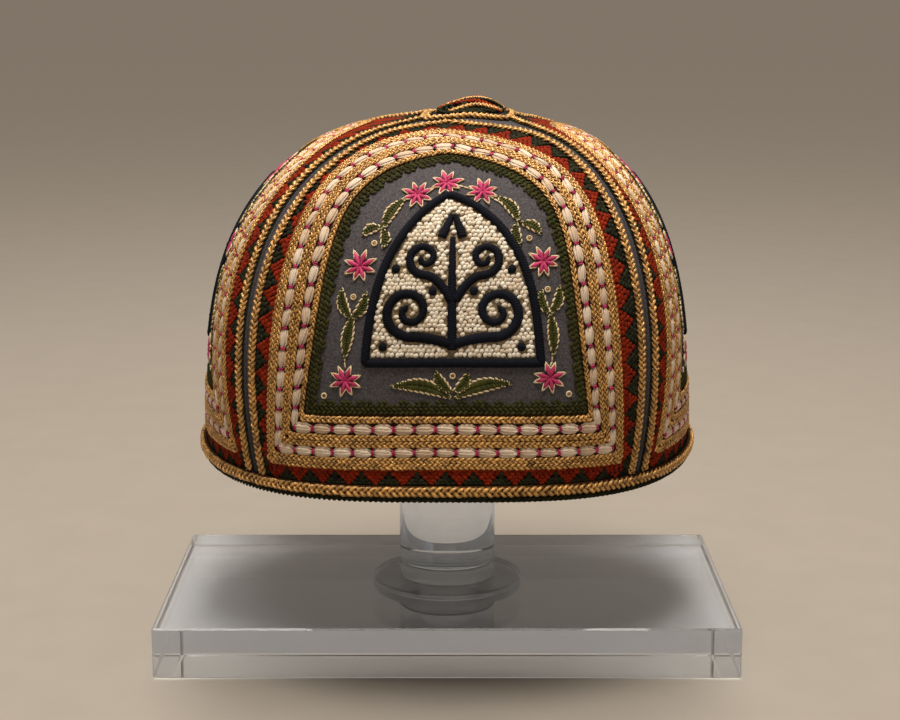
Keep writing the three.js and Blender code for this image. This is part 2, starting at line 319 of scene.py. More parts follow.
# A cord laid along a place: an oval section at each station, closed at its ends or into a loop
def layCord(place, width, height, sides, loop=False, up=0.0, tint=None):
    count = len(place["origin"])
    tint = np.broadcast_to(draw.random() if tint is None else tint, count)
    width = np.broadcast_to(width, count)[:, None]
    height = np.broadcast_to(height, count)[:, None]
    angles = np.arange(sides) * 2 * math.pi / sides
    offset = width / 2 * np.cos(angles)
    rise = height / 2 * np.sin(angles) + np.broadcast_to(up, count)[:, None]
    spots = place["origin"][:, None] + offset[..., None] * place["side"][:, None]
    spots = spots + rise[..., None] * place["normal"][:, None]
    lengths = runLengths(place["origin"])
    points = spots.reshape(-1, 3)
    local = np.column_stack([offset.ravel(), np.repeat(lengths, sides), np.repeat(tint, sides)])
    rows = np.arange(count if loop else count - 1)
    i, j = np.meshgrid(rows, np.arange(sides), indexing="ij")
    a = i * sides + j
    b = i * sides + (j + 1) % sides
    nextRow = (i + 1) % count * sides
    quads = np.stack([a, nextRow + j, nextRow + (j + 1) % sides, b], -1).reshape(-1, 4)[:, ::-1]
    tris = np.zeros((0, 3), int)
    if not loop:
        poles = np.array([spots[0].mean(0), spots[-1].mean(0)])
        points = np.concatenate([points, poles])
        local = np.concatenate([local, local[[0, -1]]])
        k = np.arange(sides)
        first, last = count * sides, count * sides + 1
        end = (count - 1) * sides
        foot = np.column_stack([np.full(sides, first), k, (k + 1) % sides])
        head = np.column_stack([np.full(sides, last), end + (k + 1) % sides, end + k])
        tris = np.concatenate([foot, head])[:, ::-1]
    return {"points": points, "stitch": local, "quads": quads, "tris": tris}


# A pitch that fits a whole number of times round a loop
def loopPitch(place, lengths, pitch):
    whole = lengths[-1] + np.linalg.norm(place["origin"][0] - place["origin"][-1])
    return whole / round(whole / pitch)


def layTwist(place, strand, pitch, plies, loop=False, sides=5):
    lengths = runLengths(place["origin"])
    pitch = loopPitch(place, lengths, pitch) if loop else pitch
    cords = []
    for ply in range(plies):
        phase = 2 * math.pi * (lengths / pitch + ply / plies)
        path = shifted(place, strand / 2 * np.cos(phase), 0.0, strand / 2 * np.sin(phase))
        cords.append(layCord(path, strand, strand, sides, loop))
    return joined(cords)


# A slow uneven change along a row of stitches
def wander(lengths, every, amount):
    knots = draw.normal(0, amount, max(4, round(lengths[-1] / every)))
    knots[-1] = knots[0]
    return np.interp(lengths, np.linspace(0, lengths[-1], len(knots)), knots)


# A flat plait along a place; a strand is darker where it runs under another, painted shade carried in its
# tint. Drift, swing, gauge and tint
# wander along it: every how many millimetres, and by how much
plaitWork = {"strands": 3, "sides": 4, "cross": 0.4, "flatness": 0.82, "drift": (5.0, 0.07),
             "swing": (4.0, 0.1), "gauge": (2.5, 0.1), "tint": (2.5, 0.3)}


def layPlait(place, width, strand, pitch, loop=False, up=0.0):
    lengths = runLengths(place["origin"])
    pitch = loopPitch(place, lengths, pitch) if loop else pitch
    cords = []
    drift = wander(lengths, *plaitWork["drift"])
    for ply in range(plaitWork["strands"]):
        phase = 2 * math.pi * (lengths / pitch + drift + ply / plaitWork["strands"])
        swing = (width - strand) / 2 * np.sin(phase) * (1 + wander(lengths, *plaitWork["swing"]))
        path = shifted(place, swing, 0.0, up + plaitWork["cross"] * strand * np.sin(2 * phase))
        origin = path["origin"]
        ahead = np.roll(origin, -1, 0) - np.roll(origin, 1, 0) if loop else np.gradient(origin, axis=0)
        gauge = strand * (1 + wander(lengths, *plaitWork["gauge"]))
        # painted shade: the tint is lowest where the strand dips under another
        tint = 0.5 + 0.5 * np.sin(2 * phase) + wander(lengths, *plaitWork["tint"])
        path = framed(origin, ahead, path["normal"])
        height = plaitWork["flatness"] * gauge
        cords.append(layCord(path, gauge, height, plaitWork["sides"], loop, tint=tint))
    return joined(cords)


def makePiece(name, batch, material, slot, *nodes):
    mesh = bpy.data.meshes.new(name)
    quads, tris = batch["quads"], batch["tris"]
    mesh.vertices.add(len(batch["points"]))
    mesh.vertices.foreach_set("co", (batch["points"] * mm).ravel())
    mesh.loops.add(4 * len(quads) + 3 * len(tris))
    mesh.loops.foreach_set("vertex_index", np.concatenate([quads.ravel(), tris.ravel()]))
    mesh.polygons.add(len(quads) + len(tris))
    starts = [4 * np.arange(len(quads)), 4 * len(quads) + 3 * np.arange(len(tris))]
    mesh.polygons.foreach_set("loop_start", np.concatenate(starts))
    mesh.polygons.foreach_set("use_smooth", np.ones(len(quads) + len(tris), bool))
    mesh.update(calc_edges=True)
    mesh.attributes.new("stitch", "FLOAT_VECTOR", "POINT")
    mesh.attributes["stitch"].data.foreach_set("vector", batch["stitch"].ravel())
    mesh.materials.append(material)
    piece = bpy.data.objects.new(name, mesh)
    bpy.context.collection.objects.link(piece)
    carry(piece, slot, *nodes)


def carry(piece, slot, *nodes):
    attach(piece, "root")
    if nodes:
        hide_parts(*nodes)


def quarterTurned(points, turns):
    x, y, z = points[..., 0], points[..., 1], points[..., 2]
    for _ in range(turns):
        x, y = -y, x
    return np.stack([x, y, z], -1)


# The front panel's work, sewn again on the other panels; nodes name what it stands for on each
def onEachPanel(name, batch, material, slot, *nodes, panels=(0, 1, 2, 3)):
    for turns in panels:
        panel = panelNames[turns]
        own = {**batch, "points": settle(quarterTurned(batch["points"], turns))}
        makePiece(f"{name}_{panel}", own, material, slot, *(node.format(panel) for node in nodes))


# A screen colour, each part 0 to 255, in Blender's linear values
def tone(red, green, blue):
    def linear(value):
        value = value / 255
        return value / 12.92 if value <= 0.04045 else ((value + 0.055) / 1.055) ** 2.4
    return (linear(red), linear(green), linear(blue), 1.0)


def addNode(tree, kind, **values):
    node = tree.nodes.new(kind)
    for key, value in values.items():
        if hasattr(node, key):
            setattr(node, key, value)
        else:
            node.inputs[key].default_value = value
    return node


def feed(tree, sockets, values):
    for socket, value in zip(sockets, values):
        if isinstance(value, (int, float, tuple)):
            socket.default_value = value
        else:
            tree.links.new(value, socket)


def maths(tree, operation, *values):
    node = addNode(tree, "ShaderNodeMath", operation=operation)
    feed(tree, node.inputs, values)
    return node.outputs[0]


def blendColor(tree, kind, factor, first, second):
    node = addNode(tree, "ShaderNodeMix", data_type="RGBA", blend_type=kind)
    feed(tree, (node.inputs[0], node.inputs[6], node.inputs[7]), (factor, first, second))
    return node.outputs[2]


def noise(tree, scale, detail=2.0, roughness=0.5):
    coords = addNode(tree, "ShaderNodeTexCoord").outputs["Object"]
    node = addNode(tree, "ShaderNodeTexNoise", Scale=scale, Detail=detail, Roughness=roughness)
    tree.links.new(coords, node.inputs["Vector"])
    return node.outputs["Fac"]


# Spun thread: strands that run at a slant over each stitch, a tint for each stitch and uneven dye. On plaits
# the tint also carries painted shade where a strand runs under another, and the grooves between strands are
# darkened as painted shade
threadForm = {"dyeNoise": (420.0, 3.0), "fuzzNoise": (3600.0, 2.0), "tintShare": 0.55, "dyeShare": 0.9,
              "dyeStart": -0.22, "grooveShade": 0.3, "fuzz": 0.4, "bumpDepth": 0.0001}


def makeThreadGroup():
    tree = bpy.data.node_groups.new("spunThread", "ShaderNodeTree")
    for name, kind in (("Shade", "NodeSocketColor"), ("Light", "NodeSocketColor"),
                       ("Slant", "NodeSocketFloat"), ("Strands", "NodeSocketFloat")):
        tree.interface.new_socket(name=name, in_out="INPUT", socket_type=kind)
    for name, kind in (("Color", "NodeSocketColor"), ("Height", "NodeSocketFloat")):
        tree.interface.new_socket(name=name, in_out="OUTPUT", socket_type=kind)
    given = addNode(tree, "NodeGroupInput").outputs
    made = addNode(tree, "NodeGroupOutput").inputs
    spot = addNode(tree, "ShaderNodeAttribute", attribute_name="stitch").outputs["Vector"]
    parts = addNode(tree, "ShaderNodeSeparateXYZ")
    tree.links.new(spot, parts.inputs[0])
    x, y, tint = parts.outputs
    lean = maths(tree, "MULTIPLY_ADD", x, given["Slant"], y)
    wave = maths(tree, "SINE", maths(tree, "MULTIPLY", lean, given["Strands"]))
    strands = maths(tree, "MULTIPLY_ADD", wave, 0.5, 0.5)
    dye = noise(tree, *threadForm["dyeNoise"])
    fuzz = noise(tree, *threadForm["fuzzNoise"])
    dyed = maths(tree, "MULTIPLY_ADD", dye, threadForm["dyeShare"], threadForm["dyeStart"])
    share = maths(tree, "MULTIPLY_ADD", tint, threadForm["tintShare"], dyed)
    color = blendColor(tree, "MIX", share, given["Shade"], given["Light"])
    # painted shade: the colour is darkened in the grooves between strands
    grooveShade = maths(tree, "MULTIPLY_ADD", strands, threadForm["grooveShade"], 1 - threadForm["grooveShade"])
    tree.links.new(blendColor(tree, "MULTIPLY", 1.0, color, grooveShade), made["Color"])
    tree.links.new(maths(tree, "MULTIPLY_ADD", fuzz, threadForm["fuzz"], strands), made["Height"])
    return tree


threadGroup = makeThreadGroup()


def startMaterial(name, **sockets):
    material = bpy.data.materials.new(name)
    material.use_nodes = True
    shader = material.node_tree.nodes["Principled BSDF"]
    for socket, value in sockets.items():
        shader.inputs[socket].default_value = value
    return material, material.node_tree, shader


# A base colour that drifts between two tones
def mottle(tree, shader, drift, first, second):
    color = blendColor(tree, "MIX", drift, tone(*first), tone(*second))
    tree.links.new(color, shader.inputs["Base Color"])


def addBump(tree, shader, height, strength, distance):
    bump = addNode(tree, "ShaderNodeBump", Strength=strength, Distance=distance)
    tree.links.new(height, bump.inputs["Height"])
    tree.links.new(bump.outputs["Normal"], shader.inputs["Normal"])

def threadMaterial(name, shade, light, slant=0.8, strands=13.0, bump=0.5, gloss=0.5, **sockets):
    material, tree, shader = startMaterial(name, **sockets)
    shader.inputs["Specular IOR Level"].default_value = gloss
    group = addNode(tree, "ShaderNodeGroup", node_tree=threadGroup)
    group.inputs["Shade"].default_value = tone(*shade)
    group.inputs["Light"].default_value = tone(*light)
    group.inputs["Slant"].default_value = slant
    group.inputs["Strands"].default_value = strands
    tree.links.new(group.outputs["Color"], shader.inputs["Base Color"])
    addBump(tree, shader, group.outputs["Height"], bump, threadForm["bumpDepth"])
    return material


goldThread = threadMaterial("goldThread", (66, 36, 11), (246, 188, 106), slant=3.0, strands=7.0,
                            Roughness=0.27, Metallic=0.2)
ivoryThread = threadMaterial("ivoryThread", (200, 168, 136), (244, 228, 206), slant=9.0, strands=1.5,
                             gloss=0.3, Roughness=0.6)
pinkThread = threadMaterial("pinkThread", (150, 24, 70), (222, 70, 126), gloss=0.3, Roughness=0.6)
rustThread = threadMaterial("rustThread", (92, 22, 8), (160, 48, 16), gloss=0.1, Roughness=0.85)
greenThread = threadMaterial("greenThread", (22, 23, 15), (52, 54, 36), gloss=0.1, Roughness=0.9)
borderThread = threadMaterial("borderThread", (34, 35, 16), (74, 74, 38), gloss=0.1, Roughness=0.9)
ecruThread = threadMaterial("ecruThread", (216, 192, 160), (255, 250, 234), gloss=0.25, Roughness=0.65)
creamThread = threadMaterial("creamThread", (214, 180, 134), (250, 232, 194), gloss=0.3, Roughness=0.6)
navyThread = threadMaterial("navyThread", (7, 9, 16), (20, 24, 36), slant=0.3, strands=7.0, bump=0.9,
                            gloss=0.12, Roughness=0.85)
oliveThread = threadMaterial("oliveThread", (40, 42, 10), (84, 85, 30), slant=9.0, strands=2.0,
                             gloss=0.2, Roughness=0.7)
# dark core thread under the rim plait: painted shade in the plait's gaps
coreShadeThread = threadMaterial("coreShadeThread", (30, 18, 8), (66, 40, 17), gloss=0.1, Roughness=0.9)

# Felt: matted wool, its ground colour in an attribute, flecked with lighter and darker fibres. Under the
# band, the points and the cartouche that colour is darker than the stitches on it, painted shade in the gaps
# between them
feltForm = {"fleckNoise": (1500.0, 4.0, 0.7), "fleckFrom": (0.36, 0.68), "fleckTo": (0.55, 1.5),
            "matNoise": (2200.0, 4.0, 0.65), "bump": 0.6, "bumpDepth": 0.0004}


def makeFeltMaterial():
    material, tree, shader = startMaterial("greyFelt", Roughness=0.95)
    shader.inputs["Specular IOR Level"].default_value = 0.1
    shader.inputs["Sheen Weight"].default_value = 0.06
    shader.inputs["Sheen Roughness"].default_value = 0.6
    feltAndGapShade = addNode(tree, "ShaderNodeAttribute", attribute_name="feltAndGapShade").outputs["Color"]
    fleck = addNode(tree, "ShaderNodeMapRange")
    for end, key in (("From", "fleckFrom"), ("To", "fleckTo")):
        fleck.inputs[f"{end} Min"].default_value, fleck.inputs[f"{end} Max"].default_value = feltForm[key]
    tree.links.new(noise(tree, *feltForm["fleckNoise"]), fleck.inputs["Value"])
    color = blendColor(tree, "MULTIPLY", 1.0, feltAndGapShade, fleck.outputs["Result"])
    tree.links.new(color, shader.inputs["Base Color"])
    addBump(tree, shader, noise(tree, *feltForm["matNoise"]), feltForm["bump"], feltForm["bumpDepth"])
    return material


# Clear acrylic: faint wiping marks in its polish; lamps shine through it, and a share of what lies behind
acrylicForm = {"hazeNoise": (35.0, 5.0, 0.6), "haze": 0.03, "filmNoise": (220.0, 3.0, 0.6), "film": 0.06,
               "thickShare": 0.06, "thinShare": 0.55}


def makeAcrylicMaterial(name, share):
    material, tree, shader = startMaterial(name, IOR=1.49)
    shader.inputs["Transmission Weight"].default_value = 1.0
    haze = noise(tree, *acrylicForm["hazeNoise"])
    tree.links.new(maths(tree, "MULTIPLY", haze, acrylicForm["haze"]), shader.inputs["Roughness"])
    mottle(tree, shader, haze, (226, 237, 255), (238, 245, 255))
    clear = addNode(tree, "ShaderNodeBsdfTransparent", Color=tone(245, 247, 247))
    mix = addNode(tree, "ShaderNodeMixShader")
    shadowRay = addNode(tree, "ShaderNodeLightPath").outputs["Is Shadow Ray"]
    tree.links.new(maths(tree, "MAXIMUM", shadowRay, share), mix.inputs[0])
    tree.links.new(shader.outputs[0], mix.inputs[1])
    tree.links.new(clear.outputs[0], mix.inputs[2])
    tree.links.new(mix.outputs[0], tree.nodes["Material Output"].inputs["Surface"])
    return material


# A cemented joint between two pieces of acrylic shows only as a faint film
def makeJointMaterial():
    material, tree, shader = startMaterial("cementedJoint", IOR=1.49)
    film = noise(tree, *acrylicForm["filmNoise"])
    tree.links.new(maths(tree, "MULTIPLY", film, acrylicForm["film"]), shader.inputs["Alpha"])
    mottle(tree, shader, film, (226, 232, 238), (240, 244, 248))
    return material


feltMaterial = makeFeltMaterial()
thickMaterial = makeAcrylicMaterial("thickAcrylic", acrylicForm["thickShare"])
thinMaterial = makeAcrylicMaterial("thinAcrylic", acrylicForm["thinShare"])
jointMaterial = makeJointMaterial()
print("materials made")

# Pointed arches of a panel's design, as on the frame
archForm = {"tip": 1.3, "lean": 6, "crowding": 1.5}
bandOuter = {"halfFoot": 61.4, "foot": 7.6, "tip": 137, "shift": -0.7, "tipShift": -6,
             "side": 4.4, "taper": 0.17}
bandInner = {"halfFoot": 46.2, "foot": 25.8, "tip": 118, "shift": -0.2, "tipShift": -3,
             "side": 7, "taper": 0.29}
fieldArch = {"halfFoot": 42.6, "foot": 30.2, "tip": 114, "shift": 0.2, "tipShift": -2.4,
             "side": 7, "taper": 0.29}
# the middle of the cartouche's outline, whose outer side lies on the solid's edge
cartoucheArch = {"halfFoot": 28.3, "foot": 42.8, "tip": 99.4, "shift": 1.9, "tipShift": -1,
                 "side": 3.2, "taper": 0.18}


def mixArch(first, second, share):
    return {key: first[key] + (second[key] - first[key]) * share for key in first}


# Middle and half width of an arch at a height from 0 at its foot to 1 at its tip
def archSpan(arch, height):
    middle = arch["shift"] + (arch["tipShift"] - arch["shift"]) * height ** archForm["lean"]
    narrowed = (1 - arch["taper"] * height) * (1 - height ** arch["side"]) ** (1 / archForm["tip"])
    return middle, arch["halfFoot"] * narrowed


# station 0 to 1 runs along the foot, 1 to 2 up the right side, 2 to 3 down the left
def archLine(arch, station):
    station = np.asarray(station, float) % 3
    climbed = np.clip(np.where(station < 2, station - 1, 3 - station), 0, 1)
    height = 1 - (1 - climbed) ** archForm["crowding"]
    middle, half = archSpan(arch, height)
    across = middle + half * np.where(station < 1, 2 * station - 1, np.where(station < 2, 1, -1))
    return across, arch["foot"] + (arch["tip"] - arch["foot"]) * height


def archBetween(first, second, share):
    return lambda station: archLine(mixArch(first, second, share), station)


def insideArch(arch, across, up, margin=0.0):
    height = np.clip((up - arch["foot"]) / (arch["tip"] - arch["foot"]), 0, 1)
    middle, half = archSpan(arch, height)
    return (np.abs(across - middle) < half - margin) & (up > arch["foot"] + margin) & (up < arch["tip"])


# Felt panels
panelForm = {"thickness": 2.6, "seamGap": 0.35, "crownOpening": 3.5, "columns": 52, "rows": 66,
             "crowding": 1.2, "colorInset": 1.5}
feltAndGapShadeTones = {
    "felt": tone(76, 73, 76),
    "strip": tone(70, 67, 70),
    # the points, band and cartouche grounds are painted shade in the gaps between stitches: darker than the
    # thread on them, the cartouche's a darkened ecru
    "points": tone(15, 15, 11),
    "band": tone(62, 38, 17),
    "cartouche": tone(150, 130, 100),
}
seamBraid = {"fromSeam": 3.4, "foot": 2.4, "spreadFrom": 90, "joinAt": 147, "power": 8,
             "lean": -6}
archedPanels = (0, 2)  # the front and the back, whose seam braids meet in an arch
straightPanels = (1, 3)


# Where the middle of a seam braid runs: on an arched panel the two braids leave the seams and meet
def braidAcross(arched, side, up):
    spread = (up - seamBraid["spreadFrom"]) / (seamBraid["joinAt"] - seamBraid["spreadFrom"])
    spread = np.clip(spread, 0, 1)
    climbing = spread ** seamBraid["power"] if arched else 0 * spread
    inset = seamBraid["fromSeam"] + (halfAcross(seamBraid["joinAt"]) - seamBraid["fromSeam"]) * climbing
    return side * (halfAcross(up) - inset) + seamBraid["lean"] * climbing


def insideBraids(arched, across, up):
    return np.minimum(braidAcross(arched, 1, up) - across, across - braidAcross(arched, -1, up))


# Felt colour where the felt is bare, painted gap shade where stitches cover it
def feltAndGapShadeColors(arched, across, up):
    colors = np.tile(feltAndGapShadeTones["points"], (len(across), 1))
    colors[insideBraids(arched, across, up) < 0] = feltAndGapShadeTones["strip"]
    colors[insideArch(bandOuter, across, up)] = feltAndGapShadeTones["band"]
    colors[insideArch(bandInner, across, up, panelForm["colorInset"])] = feltAndGapShadeTones["felt"]
    colors[insideArch(cartoucheArch, across, up, panelForm["colorInset"])] = feltAndGapShadeTones["cartouche"]
    return colors


def makePanel(turns, panel):
    bpy.ops.object.select_all(action="DESELECT")
    bpy.ops.mesh.primitive_grid_add(x_subdivisions=panelForm["columns"], y_subdivisions=panelForm["rows"],
                                    size=2)
    piece = bpy.context.object
    piece.name = f"felt_panel_{panel}"
    flat = np.array([point.co[:] for point in piece.data.vertices])
    climbed = 1 - (0.5 - flat[:, 1] / 2) ** panelForm["crowding"]
    up = (panelLength - panelForm["crownOpening"]) * climbed
    across = flat[:, 0] * (halfAcross(up) - panelForm["seamGap"] / 2)
    points = settle(quarterTurned(panelSurface(across, up)[0], turns))
    piece.data.vertices.foreach_set("co", (points * mm).ravel())
    piece.data.attributes.new("feltAndGapShade", "FLOAT_COLOR", "POINT")
    bpy.ops.object.shade_smooth()
    wall = piece.modifiers.new("wall", "SOLIDIFY")
    wall.thickness = panelForm["thickness"] * mm
    wall.offset = -1
    bpy.ops.object.modifier_apply(modifier="wall")
    colors = np.tile(feltAndGapShadeTones["felt"], (len(piece.data.vertices), 1))  # the inner face is bare felt
    colors[:len(flat)] = feltAndGapShadeColors(turns in archedPanels, across, up)
    piece.data.attributes["feltAndGapShade"].data.foreach_set("color", colors.ravel())
    piece.data.materials.append(feltMaterial)
    carry(piece, "felt", f"panel_{panel}")


for turns, panel in enumerate(panelNames):
    makePanel(turns, panel)
print("felt panels cut")

# Arch band: rows of gold plait, placed from its outer edge, with two rows of ivory grains between them
bandForm = {"width": 18.2, "plaitRows": (0.8, 2.8, 8.2, 10.4, 16.5), "grainRows": (5.5, 13.3),
            "narrowest": 0.7, "widest": 1.1, "probe": 0.05}
plaitForm = {"width": 2.6, "strand": 0.95, "pitch": 5.4, "lift": 0.7, "step": 0.72, "softness": 1.6}
grainForm = {"pitch": 6.7, "width": 3.6, "uneven": 0.06, "height": 2.1, "lift": 0.5, "length": 0.96,
             "tilt": 0.13, "tiltUneven": 0.1, "footTilt": 0.3}
tieForm = {"threads": 2, "gauge": 0.5, "thickness": 1.25, "length": 2.6, "height": 1.2, "lift": 0.8,
           "uneven": 0.12}


# How much narrower the band is at each station than along its foot
def bandScale(share, stations, place):
    probe = bandForm["probe"]
    low = panelSurface(*archBetween(bandOuter, bandInner, share - probe)(stations))[0]
    high = panelSurface(*archBetween(bandOuter, bandInner, share + probe)(stations))[0]
    scale = np.abs(((high - low) * place["side"]).sum(-1)) / (2 * probe * bandForm["width"])
    return np.clip(scale, bandForm["narrowest"], bandForm["widest"])


def sewPlaitRow(share):
    line = archBetween(bandOuter, bandInner, share)
    place, stations = roundedPlace(line, 3, plaitForm["step"], plaitForm["softness"])
    scale = bandScale(share, stations, place)
    return layPlait(place, plaitForm["width"] * scale, plaitForm["strand"] * scale, plaitForm["pitch"],
                    True, plaitForm["lift"])


def sewGrainRow(share):
    line = archBetween(bandOuter, bandInner, share)
    stations = evenStations(line, grainForm["pitch"], 0, 3)
    place = placeAlong(line, stations)
    scale = bandScale(share, stations, place)
    count = len(stations)
    tilt = draw.normal(grainForm["tilt"], grainForm["tiltUneven"], count)
    place = turned(place, np.where(stations < 1, grainForm["footTilt"], 1) * tilt)
    width = grainForm["width"] * scale * draw.normal(1, grainForm["uneven"], count)
    size = fixedSizes(count, width, grainForm["pitch"] * grainForm["length"], grainForm["height"])
    grains = plant(grain, place, size, grainForm["lift"])
    between = placeAlong(line, stations + np.diff(np.append(stations, stations[0] + 3)) / 2)
    size = fixedSizes(count, tieForm["gauge"] * tieForm["thickness"], tieForm["length"] * scale,
                      tieForm["height"])
    ties = []
    for thread in range(tieForm["threads"]):
        step = (thread - (tieForm["threads"] - 1) / 2) * tieForm["gauge"]
        across = turned(shifted(between, 0, step), quarterTurn + draw.normal(0, tieForm["uneven"], count))
        ties.append(plant(seed, across, size, tieForm["lift"]))
    return grains, joined(ties)


def sewBand():
    plaits = [sewPlaitRow(row / bandForm["width"]) for row in bandForm["plaitRows"]]
    grains, ties = zip(*[sewGrainRow(row / bandForm["width"]) for row in bandForm["grainRows"]])
    onEachPanel("band_gold", joined(plaits), goldThread, "band_thread", "arch_band_{}")
    onEachPanel("band_ivory", joined(grains), ivoryThread, "band_thread")
    onEachPanel("band_ties", joined(ties), pinkThread, "band_thread")


sewBand()
print("arch bands sewn")

# Border of points: rust triangles stand on the band, dark green ones on the braids
pointsForm = {"pitch": 8.8, "pitchShare": 0.4, "foot": 1.9, "clear": 1.7, "longest": 12.0, "lift": 0.25,
              "rayStep": 0.2, "rayEnd": 40, "row": 1.2, "fewestRows": 3, "seedPitch": 1.75,
              "narrowest": 0.04, "slant": 0.35, "slantUneven": 0.35,
              "seed": ((1.2, 1.4, 0.1), (1.75, 1.3, 0.1), (0.8, 1, 0.12))}
rustPoint = {"tip": 0.94, "rise": 0.74, "widest": 0.98}
greenPoint = {"tip": 0.26, "rise": 0.88}
raySteps = np.linspace(0, 3, 901)


# Rays square to the band's outer edge, fanned at its corners, that end at the braids
def borderRays(arched, spread=0.04):
    edge = np.stack(archLine(bandOuter, raySteps))
    run = np.stack(archLine(bandOuter, raySteps + spread)) - np.stack(archLine(bandOuter, raySteps - spread))
    out = np.stack([run[1], -run[0]]) / np.hypot(*run)
    reach = np.arange(0, pointsForm["rayEnd"], pointsForm["rayStep"])
    across, up = edge[..., None] + out[..., None] * reach
    free = np.minimum(insideBraids(arched, across, up) - pointsForm["clear"], up - pointsForm["foot"])
    free = np.minimum(free, pointsForm["longest"] - reach)
    return edge, out * reach[np.argmax(free < 0, axis=-1)]


def borderLine(rays, share):
    def line(station):
        at = np.asarray(station, float) % 3
        return tuple(np.interp(at, raySteps, edge) + share * np.interp(at, raySteps, reach)
                     for edge, reach in zip(*rays))
    return line


def rowOfSeeds(rays, share, middle, half):
    line = borderLine(rays, share)
    ends = panelSurface(*line(np.array([middle - half, middle, middle + half])))[0]
    count = max(1, round(float(runLengths(ends)[-1]) / pointsForm["seedPitch"]))
    return [(share, middle + half * (2 * (k + 0.5) / count - 1)) for k in range(count)]


# Seeds of one triangle, in rows from the band out to the braid
def pointSeeds(rays, middle, half, onBand):
    ends = [np.array(borderLine(rays, share)(np.array([middle]))) for share in (0.0, 1.0)]
    wide = np.linalg.norm(panelSurface(*ends[0])[0] - panelSurface(*ends[1])[0])
    rows = max(pointsForm["fewestRows"], round(float(wide) / pointsForm["row"]))
    spots = []
    for row in range(rows):
        share = (row + 0.5) / rows
        if onBand:
            width = min((rustPoint["tip"] - share) / rustPoint["rise"], rustPoint["widest"])
        else:
            width = (share - greenPoint["tip"]) / greenPoint["rise"]
        if width > pointsForm["narrowest"]:
            spots.extend(rowOfSeeds(rays, share, middle, half * width))
    return spots


def sewPoints(arched, panels):
    rust, green = [], []
    rays = borderRays(arched)
    for first in range(3):
        line = borderLine(rays, pointsForm["pitchShare"])
        edges = evenStations(line, pointsForm["pitch"], first, first + 1, ends=True)
        for low, high in zip(edges[:-1], edges[1:]):
            rust.extend(pointSeeds(rays, (low + high) / 2, (high - low) / 2, True))
            green.extend(pointSeeds(rays, low, (high - low) / 2, False))
    for name, spots, material, slot in (("rust_points", rust, rustThread, "rust_cord"),
                                        ("green_points", green, greenThread, "dark_cord")):
        share, station = np.array(spots).T
        slant = draw.normal(pointsForm["slant"], pointsForm["slantUneven"], len(spots))
        place = turned(placeAlong(borderLine(rays, share), station), slant)
        batch = plant(seed, place, sewnSizes(len(spots), pointsForm["seed"]), pointsForm["lift"])
        onEachPanel(name, batch, material, slot, panels=panels)


sewPoints(True, archedPanels)
sewPoints(False, straightPanels)
print("pointed borders sewn")

# Inner border: slanted dark green stitches with a lobed inner edge
borderForm = {"rows": 4, "pitch": 1.7, "reach": 1.08, "slant": 0.6, "slantUneven": 0.12, "lobe": 6.2,
              "lobeGap": 0.5, "lift": 0.3, "seed": ((1.25, 1, 0.08), (2.0, 1.1, 0.08), (1.0, 1, 0.1))}


def sewInnerBorder():
    batches = []
    for row in range(borderForm["rows"]):
        share = (row + 0.5) / borderForm["rows"] * borderForm["reach"]
        line = archBetween(bandInner, fieldArch, share)
        stations = evenStations(line, borderForm["pitch"], 0, 3)
        if row == borderForm["rows"] - 1:  # the last row stops between the lobes
            lengths = np.arange(len(stations)) * borderForm["pitch"]
            lobes = np.abs(np.sin(math.pi * lengths / borderForm["lobe"]))
            stations = stations[lobes > borderForm["lobeGap"]]
        slant = borderForm["slant"] if row % 2 else -borderForm["slant"]
        slant = slant + draw.normal(0, borderForm["slantUneven"], len(stations))
        place = turned(placeAlong(line, stations), slant)
        batches.append(plant(seed, place, sewnSizes(len(stations), borderForm["seed"]), borderForm["lift"]))
    onEachPanel("inner_border", joined(batches), borderThread, "dark_cord")


sewInnerBorder()

# Scroll in the cartouche: a stem with paired volutes, of the same navy cord as its outline
outlineForm = {"width": 2.9, "height": 2.0, "lift": 0.55, "pitch": 0.75, "sides": 8, "ripple": 0.06,
               "heightTaper": 0.5}
scrollForm = {"middle": 1.6, "stemFoot": 47.0, "stemHead": 84.0, "stemLean": 0.8, "stemWidth": 3.1,
              "stemTaper": 0.4, "root": 0.6, "curlSteps": 90, "curlIn": 0.86, "leadSteps": 14,
              "curlTaper": 0.35, "dot": (3.2, 3.2, 2.2)}
voluteRows = (
    {"root": 49.0, "across": 14.0, "up": 59.5, "radius": 8.2, "turns": 1.45, "width": 3.4},
    {"root": 63.0, "across": 9.6, "up": 77.0, "radius": 5.6, "turns": 1.3, "width": 3.0},
)
budForm = {"across": 3.4, "up": 88.0, "length": 8.0, "width": 3.0, "lean": 1.0, "tip": 0.4, "taper": 0.5}
dotSpots = ((18.6, 73.4), (6.6, 66.2), (22.2, 48.2))  # across and up


def polyLine(points):
    points = np.array(points, float)
    lengths = np.append(0, np.cumsum(np.hypot(*np.diff(points, axis=0).T)))

    def line(station):
        at = np.clip(station, 0, 1) * lengths[-1]
        return np.interp(at, lengths, points[:, 0]), np.interp(at, lengths, points[:, 1])
    return line


